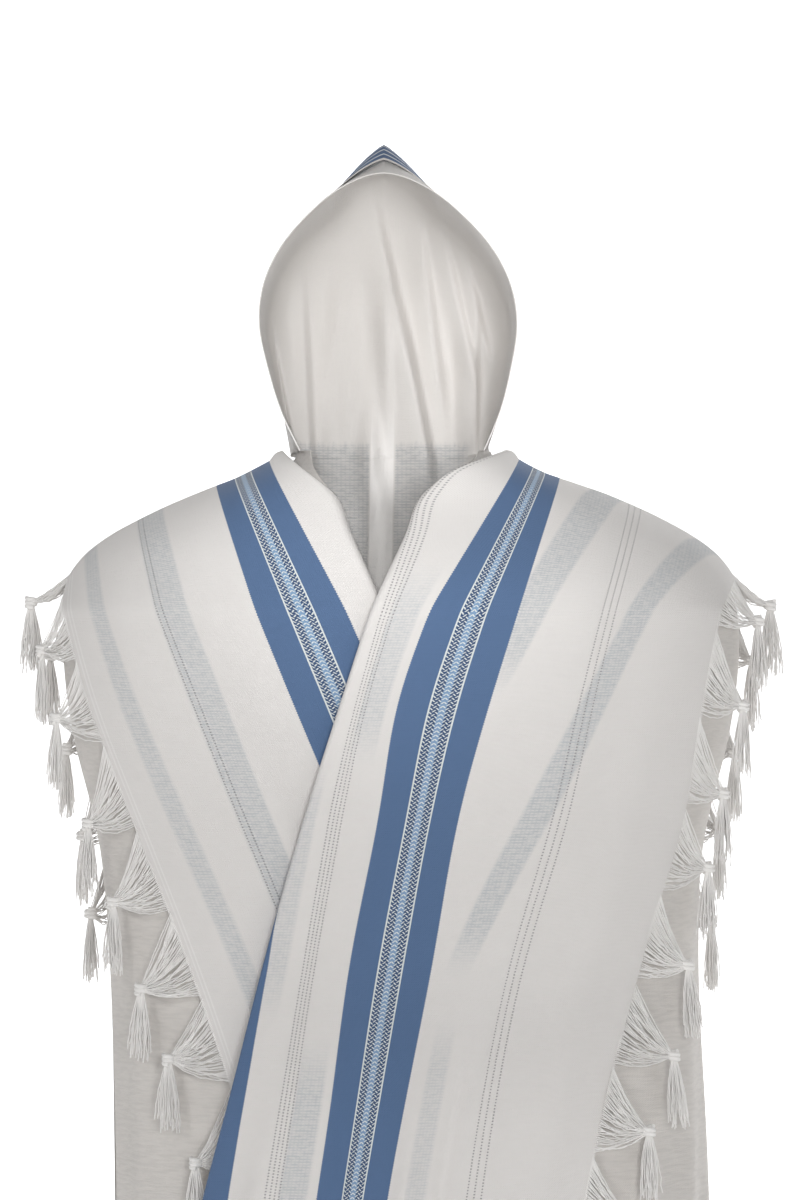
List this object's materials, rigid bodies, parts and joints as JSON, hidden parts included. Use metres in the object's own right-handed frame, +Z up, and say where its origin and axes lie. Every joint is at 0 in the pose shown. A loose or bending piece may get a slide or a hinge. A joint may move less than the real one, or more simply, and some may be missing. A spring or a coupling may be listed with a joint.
{
  "type": "tallit prayer shawl, worn over head and shoulders",
  "caption": "Rectangular prayer shawl worn as a hood and cape, each end folded out over its shoulder, with woven bands, a crown band and knotted end fringe",
  "frame": {"origin": "crown of the wearer's head, just under the top of the hood", "axes": "+Z up, the wearer faces -Y, the wearer's left arm is at +X"},
  "size_m": [0.6698, 0.3687, 1.5297],
  "materials": {
    "cloth": "plain woven off-white wool with blue bands and openwork stripes",
    "atara": "woven blue band with fine pale lines",
    "fringe_yarn": "twisted off-white yarn, knotted"
  },
  "bodies": {
    "root": {"atara": "atara", "back": "cloth", "flap_left": "cloth", "flap_right": "cloth", "fringe_left_01": "fringe_yarn", "fringe_left_02": "fringe_yarn", "fringe_left_03": "fringe_yarn", "fringe_left_04": "fringe_yarn", "fringe_left_05": "fringe_yarn", "fringe_left_06": "fringe_yarn", "fringe_left_07": "fringe_yarn", "fringe_left_08": "fringe_yarn", "fringe_left_09": "fringe_yarn", "fringe_left_10": "fringe_yarn", "fringe_left_11": "fringe_yarn", "fringe_left_12": "fringe_yarn", "fringe_left_13": "fringe_yarn", "fringe_left_14": "fringe_yarn", "fringe_left_15": "fringe_yarn", "fringe_left_16": "fringe_yarn", "fringe_left_17": "fringe_yarn", "fringe_right_01": "fringe_yarn", "fringe_right_02": "fringe_yarn", "fringe_right_03": "fringe_yarn", "fringe_right_04": "fringe_yarn", "fringe_right_05": "fringe_yarn", "fringe_right_06": "fringe_yarn", "fringe_right_07": "fringe_yarn", "fringe_right_08": "fringe_yarn", "fringe_right_09": "fringe_yarn", "fringe_right_10": "fringe_yarn", "fringe_right_11": "fringe_yarn", "fringe_right_12": "fringe_yarn", "fringe_right_13": "fringe_yarn", "fringe_right_14": "fringe_yarn", "fringe_right_15": "fringe_yarn", "fringe_right_16": "fringe_yarn", "fringe_right_17": "fringe_yarn", "hood": "cloth", "side_left": "cloth", "side_right": "cloth", "tzitzit_left_back": "fringe_yarn", "tzitzit_left_front": "fringe_yarn", "tzitzit_right_back": "fringe_yarn", "tzitzit_right_front": "fringe_yarn"}
  },
  "joints": []
}
